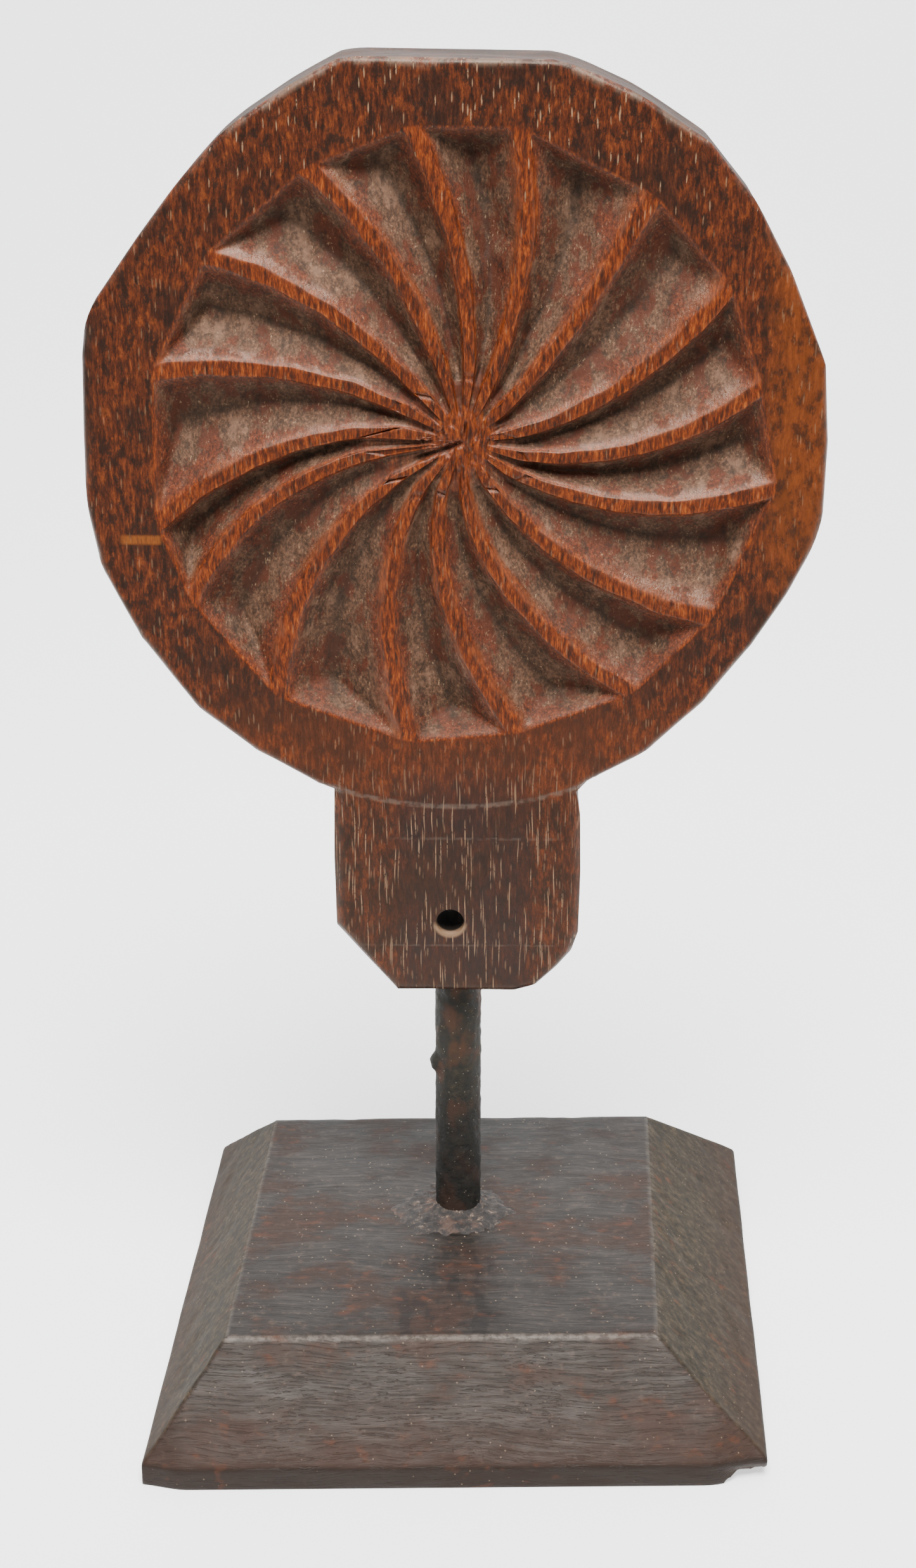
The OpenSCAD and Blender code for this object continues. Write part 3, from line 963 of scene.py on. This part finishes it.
def polished_mold_wood(finishes):
    """Close-grained hardwood, carved, oiled and worn by hands. It gives a satin red-brown where it is
    touched, a dull, dusty brown in the hollows with creases darkened by dirt and painted shade, glints along
    rubbed edges with a painted highlight on those that face up, a painted highlight along the top of the rim,
    painted shade in the hanging hole, and pale pores up the board."""
    material, tree = new_finish("hand-worn oiled hardwood")
    where = put(tree, "TexCoord", out="Object")
    x, y, z = (put(tree, "SeparateXYZ", where, out=axis) for axis in "XYZ")
    cut, rub, land_edge, crease, carved, rounding, side = (
        put(tree, "Attribute", attribute_name=name, out="Fac")
        for name in ("cut", "rub", "land_edge", "crease", "carved", "rounding", "side"))

    # bare face: dark oil over orange wood, streaked up the board, in blotches a few millimetres across
    streaks = pattern(tree, (0.5, 0.6, 2.6), warp=(8, 1.6), Detail=6.0, Roughness=0.75)
    clouds = pattern(tree, (9, 9, 13), (3, 1, 2), Detail=5.0, Roughness=0.62)
    blots = pattern(tree, (1.6, 1.6, 2.7), (8, 3, 4), Detail=6.0, Roughness=0.72)
    fleck = pattern(tree, (0.36, 0.4, 0.9), (7, 1, 2), Detail=3.0, Roughness=0.7)
    face = put(tree, "ValToRGB", streaks,
               stops=[(0.3, "#170903"), (0.46, "#361407"), (0.58, "#56240b"), (0.74, "#7f3f15")])
    face = coat(tree, face, "#190b06", (blots, 0.49, 0.61, 0.0, 0.88))
    face = coat(tree, face, "#743712", (blots, 0.43, 0.3, 0.0, 0.65))
    face = coat(tree, face, "#170b07", (clouds, 0.46, 0.6, 0.0, 0.62))
    face = coat(tree, face, "#0e0603", (fleck, 0.44, 0.3, 0.0, 0.7))

    # foot of the disc: a little brighter; handle: darker, most of all up its middle; right of the rim: orange
    face = coat(tree, face, "#7f3a11", (z, 98 * MM, 104 * MM), (z, 124 * MM, 112 * MM), 0.1)
    low = mask(tree, (z, 112 * MM, 96 * MM))
    face = coat(tree, face, "#24150d", low, 0.35)
    face = coat(tree, face, "#1a1011", low, band(tree, x, ROD_X + 1, 8, 5), (clouds, 0.62, 0.42, 0.2, 0.75))
    face = coat(tree, face, "#703509", (x, 45 * MM, 52 * MM), (z, 128 * MM, 150 * MM),
                (z, 206 * MM, 184 * MM), (blots, 0.66, 0.42, 0.25, 1.0), 0.5)

    # lands: the same wood rubbed to orange, with short dark streaks
    bars = pattern(tree, (0.42, 0.45, 2.4), (2, 8, 5), warp=(5, 1.2), Detail=4.0, Roughness=0.7)
    land = put(tree, "ValToRGB", bars,
               stops=[(0.34, "#1a0803"), (0.47, "#4a1b07"), (0.59, "#75320d"), (0.76, "#a65c24")])
    land = coat(tree, land, "#260f07", (blots, 0.52, 0.66, 0.0, 0.6))
    face = coat(tree, face, land, carved, 0.85)

    # pores: open vessels about 0.2 mm wide and some millimetres long, pale with dried fat. The long ones are
    # on the handle and the short ones on the disc, most of all at its top
    crowd = pattern(tree, (4, 5, 16), (9, 4, 1), Detail=3.0)
    thin = mask(tree, (fleck, 0.34, 0.48))
    long = put(tree, "Math", *(pattern(tree, (0.46, 0.9, length), (n, 4, n), warp=(9, 0.9), kind="TexVoronoi")
                               for n, length in ((0, 17), (5, 11))), operation="MINIMUM")
    short = pattern(tree, (0.7, 0.9, 4.5), (4, 4, 4), warp=(9, 0.8), kind="TexVoronoi")
    many = mask(tree, (long, 0.24, 0.12), (crowd, 0.3, 0.5), low, thin)
    few = mask(tree, (short, 0.23, 0.13), (crowd, 0.34, 0.48), (z, 190 * MM, 204 * MM, 0.3, 1.0), thin)
    pore = put(tree, "Math", many, few, operation="MAXIMUM")
    face = coat(tree, face, finishes.pore_fat, pore, 0.75)

    # scribed lines across the handle and a scraped patch on the left of the rim, on the front only
    from_disc = put(tree, "VectorMath", where, (DISC_X * MM, FACE_Y * MM, DISC_Z * MM), operation="DISTANCE")
    inward = put(tree, "Math", y, FACE_Y * MM, operation="SUBTRACT")
    front = mask(tree, (inward, 1.8 * MM, 1.2 * MM))
    broken = mask(tree, (pattern(tree, (1.3, 1.3, 1.0), (1, 2, 3), Detail=4.0), 0.36, 0.6))
    faint = put(tree, "Math", mask(tree, broken, 0.85), 0.15, operation="ADD")
    arc = mask(tree, band(tree, from_disc, NECK_R, 0.12, 0.5), (z, 110 * MM, 106 * MM), faint)
    upper = mask(tree, band(tree, z, HANDLE_Z + 27.8, 0.06, 0.3), band(tree, x, ROD_X + 3.2, 12, 4), broken)
    lower = mask(tree, band(tree, z, HANDLE_Z + 8.5, 0.05, 0.25), band(tree, x, ROD_X + 0.5, 14, 4), broken)
    straight = mask(tree, put(tree, "Math", upper, lower, operation="MAXIMUM"), 0.45)
    lines = mask(tree, put(tree, "Math", arc, straight, operation="MAXIMUM"), rest_of(tree, carved), front)
    face = coat(tree, face, "#6f6054", lines, 0.32)
    face = coat(tree, face, "#7d4416", band(tree, x, -49.3, 2.6, 1.0), band(tree, z, 144.9, 0.4, 0.6),
                (streaks, 0.62, 0.45, 0.4, 1.0), front, 0.75)

    # hollows: red-brown where they roll over to a land, dust and old fat deeper down, darkest in the crease
    # with dirt and painted shade
    dust = pattern(tree, (0.42, 0.42, 0.6), (5, 5, 5), Detail=5.0, Roughness=0.7)
    drift = pattern(tree, (4, 4, 7), (1, 7, 3), Detail=5.0, Roughness=0.65)
    dull = put(tree, "ValToRGB", dust,
               stops=[(0.3, "#24170f"), (0.46, "#3c281c"), (0.6, "#583c2b"), (0.8, "#86654d")])
    dull = coat(tree, dull, "#42190b", (drift, 0.49, 0.57, 0.0, 0.85))
    dull = coat(tree, dull, finishes.hollow_dust, (drift, 0.44, 0.32, 0.0, 0.55))
    polished = put(tree, "ValToRGB", dust,
                   stops=[(0.34, "#200c06"), (0.5, "#481d0d"), (0.62, "#632d16"), (0.76, "#8a4f2f")])
    wander = mask(tree, put(tree, "Math", drift, 0.5, operation="SUBTRACT"), 2.0)
    hand = put(tree, "Math", rub, wander, operation="ADD")
    inside = coat(tree, dull, polished, (hand, 0.5, 0.95), 0.9)
    soot = pattern(tree, (1.5, 1.5, 2.4), (2, 9, 6), Detail=5.0, Roughness=0.7)
    inside = coat(tree, inside, "#1c110b", (soot, 0.52, 0.64, 0.0, 0.7))
    # dirt and painted shade darken the crease
    inside = coat(tree, inside, "#120c07", crease, 0.6)
    inside = coat(tree, inside, "#9a7c5e", (fleck, 0.58, 0.68), (soot, 0.5, 0.42), 0.55)
    colour = coat(tree, face, inside, cut)
    colour = coat(tree, colour, "#1a110d", side, 0.6)

    # rubbed edges: a broken pale line on the lands, which is also a painted highlight on the shoulders of the
    # hollows that face up; greyer round the block where its edge is worn round, with a painted highlight
    # strongest at its top
    chafed_and_glinting = mask(tree, (drift, 0.55, 0.46))
    # worn edge colour and painted highlight: the lands' edges, and the up-facing shoulders of the hollows
    colour = coat(tree, colour, finishes.worn_edge_and_highlight, land_edge, chafed_and_glinting, 0.25)
    # painted highlight on the rounded outer edge, strongest along the top of the disc, over some real wear
    # all round
    colour = coat(tree, colour, "#6e5a4b", rounding, chafed_and_glinting, (z, 204 * MM, 214 * MM, 0.08, 0.5))

    # hanging hole: near-black inside, old dirt and painted shade in the bore; a pale tan crescent on its
    # lower lip
    beside = put(tree, "Math", x, HOLE_X * MM, operation="SUBTRACT")
    above = put(tree, "Math", z, HOLE_Z * MM, operation="SUBTRACT")
    from_hole = put(tree, "VectorMath", put(tree, "CombineXYZ", X=beside, Z=above), operation="LENGTH")
    colour = coat(tree, colour, "#86694f", (from_hole, 3.1 * MM, 2.5 * MM), (above, 0.3 * MM, -1.2 * MM),
                  0.75)
    # painted shade: the inside of the bore is darkened near-black
    deep = mask(tree, (from_hole, 2.7 * MM, 2.4 * MM), (inward, 1.0 * MM, 2.2 * MM))
    colour = coat(tree, colour, "#060403", deep)

    # satin where hands reach, matt in the dust, on the sides and in the hole
    satin = mask(tree, (streaks, 0.3, 0.7, 0.34, 0.46))
    matt = mask(tree, (mask(tree, land_edge, chafed_and_glinting), 0.0, 1.0, 0.7, 0.15))
    gloss = put(tree, "Mix", cut, satin, matt, data_type="FLOAT")
    dry = put(tree, "Math", deep, mask(tree, side, 0.62), operation="MAXIMUM")
    return dress(material, {
        "Base Color": colour,
        "Roughness": put(tree, "Math", gloss, dry, operation="MAXIMUM"),
        "Normal": relief(tree, 0.55, 0.3, (pore, -0.8), (streaks, 0.5), (fleck, 0.35), (dust, cut, 0.7),
                         (lines, -0.5)),
        "IOR": 1.5,
        "Specular IOR Level": 0.4,
        "Specular Tint": (1.0, 0.84, 0.7),
    })


def rusted_iron(finishes):
    """Round mild-steel bar, brown-black with old rust: nearly matt, rusty in patches, and darkened towards
    the foot by painted shade.
    """
    material, tree = new_finish("old rusted iron bar")
    z = put(tree, "SeparateXYZ", put(tree, "TexCoord", out="Object"), out="Z")
    crust = pattern(tree, 1.3, Detail=6.0, Roughness=0.72)
    patches = pattern(tree, (3.5, 3.5, 5), (2, 2, 2), Detail=4.0)
    grit = pattern(tree, 0.9, kind="TexVoronoi")
    colour = put(tree, "ValToRGB", crust,
                 stops=[(0.3, "#0f0d0a"), (0.5, "#211e17"), (0.64, "#332d22"), (0.8, "#5d5443")])
    colour = coat(tree, colour, finishes.rod_rust, (patches, 0.5, 0.68, 0.0, 0.65))
    # painted shade: darker towards the foot of the rod
    colour = coat(tree, colour, "#100e0d", (z, 52 * MM, 36 * MM), 0.6)
    colour = coat(tree, colour, "#8d8474", (grit, 0.13, 0.07), 0.6)
    return dress(material, {
        "Base Color": colour,
        "Metallic": 0.1,
        "Roughness": mask(tree, (crust, 0.3, 0.7, 0.6, 0.85)),
        "Normal": relief(tree, 0.8, 0.3, (crust,)),
        "Specular IOR Level": 0.35,
    })


def stained_block_wood(finishes):
    """Softwood block, sawn, bevelled, stained near-black and handled: a low sheen that greys what faces up,
    the front painted lighter as wear and painted sheen, a painted highlight along the top front edge, painted
    shade on the low foot, brown where the stain is thin, fine cracks along the grain of the front, and a
    scatter of grit."""
    material, tree = new_finish("dark-stained block wood")
    where = put(tree, "TexCoord", out="Object")
    x, y, z = (put(tree, "SeparateXYZ", where, out=axis) for axis in "XYZ")
    front, ends, crest_highlight, torn = (put(tree, "Attribute", attribute_name=name, out="Fac")
                                for name in ("front", "ends", "crest_highlight", "torn"))
    grain = pattern(tree, (11, 1.1, 0.8), warp=(24, 6), Detail=6.0, Roughness=0.7)
    cracks = pattern(tree, (7, 0.4, 0.3), (3, 3, 3), warp=(24, 5), Detail=3.0)
    clouds = pattern(tree, (14, 10, 8), (4, 2, 8), Detail=5.0, Roughness=0.6)
    mottle = pattern(tree, (1.6, 1.3, 1.3), (8, 2, 6), Detail=4.0, Roughness=0.7)
    colour = put(tree, "ValToRGB", grain, stops=[(0.3, "#100d0c"), (0.5, "#1e1a17"), (0.68, "#312a26")])
    colour = coat(tree, colour, "#2e1a10", (clouds, 0.47, 0.62, 0.0, 0.55))
    colour = coat(tree, colour, "#4a3a30", (mottle, 0.54, 0.72, 0.0, 0.5))
    colour = coat(tree, colour, "#0c0a09", (mottle, 0.46, 0.3, 0.0, 0.6))
    # the front faces lighter and greyer: worn, and a painted sheen
    colour = coat(tree, colour, "#41352f", front, 0.3)
    end_grain = put(tree, "ValToRGB", mottle, stops=[(0.35, "#1a160f"), (0.5, "#2a2419"), (0.7, "#443828")])
    colour = coat(tree, colour, end_grain, ends, 0.85)
    crack = mask(tree, (cracks, 0.46, 0.38), put(tree, "Math", front, 0.12, operation="MAXIMUM"))
    colour = coat(tree, colour, "#0e0b09", crack, 0.4)
    colour = coat(tree, colour, "#2a170d", (z, 15 * MM, 3 * MM), 0.5)
    # painted shade: the low upright foot of the block is darkened
    colour = coat(tree, colour, "#0f0a07", (z, 4.4 * MM, 3.6 * MM), 0.6)

    # dark runs of stain on the top, in front of the rod
    run = pattern(tree, (3, 9, 9), (2, 5, 2), Detail=3.0)
    colour = coat(tree, colour, "#0c0a0a", (run, 0.5, 0.62), band(tree, x, -1, 7, 3), (y, -8 * MM, -14 * MM),
                  rest_of(tree, front), 0.6)
    # painted highlight along the top front edge
    colour = coat(tree, colour, "#5a524b", crest_highlight, (mottle, 0.4, 0.6, 0.3, 1.0))

    # grit: pale grains about 0.3 mm across, more of them round the rod, and spots of rust
    near = put(tree, "VectorMath", where, (ROD_X * MM, ROD_Y * MM, BASE_HIGH[2] * MM), operation="DISTANCE")
    grit = pattern(tree, 1.35, kind="TexVoronoi")
    some = pattern(tree, 6, (3, 9, 1), Detail=2.0)
    colour = coat(tree, colour, finishes.block_grit, (grit, 0.13, 0.06), (some, 0.42, 0.56),
                  (near, 60 * MM, 12 * MM, 0.45, 1.0), 0.75)
    rust = pattern(tree, (3.2, 2.2, 2.2), (6, 6, 2), Detail=4.0)
    colour = coat(tree, colour, "#4a2817", (rust, 0.56, 0.7), (clouds, 0.47, 0.58), 0.5)
    colour = coat(tree, colour, "#2c2018", torn, 0.8)

    sheen = mask(tree, (clouds, 0.35, 0.65, 0.44, 0.6))
    sawn = rest_of(tree, mask(tree, ends, 0.85))
    return dress(material, {
        "Base Color": colour,
        "Roughness": put(tree, "Math", sheen, mask(tree, ends, 0.75), operation="MAXIMUM"),
        "Normal": relief(tree, 0.45, 0.25, (grain, 0.7, sawn), (crack, -0.55, sawn), (mottle, 0.3)),
        "Specular IOR Level": 0.18,
        "Specular Tint": (1.0, 0.98, 0.94),
    })


def dried_glue(finishes):
    """Hardened glue, mixed with the block's own dirt: grey like the block, with pinkish-tan crumbs."""
    material, tree = new_finish("dried glue and dust")
    crumbs = pattern(tree, 1.1, Detail=6.0, Roughness=0.78)
    patches = pattern(tree, 3.6, (6, 1, 3), Detail=4.0)
    colour = put(tree, "ValToRGB", crumbs,
                 stops=[(0.36, "#0f0c0b"), (0.5, "#1f1a17"), (0.59, "#3a2f28"), (0.7, "#8a7562")])
    colour = coat(tree, colour, finishes.glue, (patches, 0.54, 0.66, 0.0, 0.45))
    return dress(material, {
        "Base Color": colour,
        "Roughness": 0.72,
        "Normal": relief(tree, 0.7, 0.35, (crumbs,)),
    })


def pale_floor(finishes):
    """Matt studio sweep, graduated: white under and behind the object, where the sweep itself glows a little
    as painted light from its own emission, and grey towards the front, so the object does not mirror a white
    floor."""
    material, tree = new_finish("matt graduated studio sweep")
    y = put(tree, "SeparateXYZ", put(tree, "TexCoord", out="Object"), out="Y")
    front = mask(tree, (y, -62 * MM, -150 * MM))
    return dress(material, {
        "Base Color": coat(tree, finishes.studio, (0.22, 0.22, 0.22), front),
        "Roughness": 0.9,
        "Emission Color": (1.0, 1.0, 1.0),
        # painted light: the white part of the sweep glows
        "Emission Strength": rest_of(tree, front),
    })


# ---------------------------------------------------------------- panel and registration

PIECES = (
    BUTTERMOLD_OT_mold, BUTTERMOLD_OT_rod, BUTTERMOLD_OT_base, BUTTERMOLD_OT_filler, BUTTERMOLD_OT_stage)


class BUTTERMOLD_PT_panel(bpy.types.Panel):
    """Lists the pieces and their sizes"""
    bl_label = "Butter Mold"
    bl_idname = "BUTTERMOLD_PT_panel"
    bl_space_type = "VIEW_3D"
    bl_region_type = "UI"
    bl_category = "Butter Mold"

    def draw(self, context):
        for group in (context.scene.mold_sizes, context.scene.stand_sizes, context.scene.finishes):
            box = self.layout.box()
            for name in group.__annotations__:
                box.prop(group, name)
        for operator in PIECES:
            self.layout.operator(operator.bl_idname)


CLASSES = (MoldSizes, StandSizes, FinishColours, *PIECES, BUTTERMOLD_PT_panel)


def register():
    for cls in CLASSES:
        bpy.utils.register_class(cls)
    bpy.types.Scene.mold_sizes = PointerProperty(type=MoldSizes)
    bpy.types.Scene.stand_sizes = PointerProperty(type=StandSizes)
    bpy.types.Scene.finishes = PointerProperty(type=FinishColours)


def unregister():
    del bpy.types.Scene.finishes
    del bpy.types.Scene.stand_sizes
    del bpy.types.Scene.mold_sizes
    for cls in reversed(CLASSES):
        bpy.utils.unregister_class(cls)


def main():
    register()
    bpy.ops.buttermold.stage()
    bpy.ops.buttermold.base()
    bpy.ops.buttermold.rod()
    bpy.ops.buttermold.filler()
    bpy.ops.buttermold.mold()


if __name__ == "__main__":
    main()
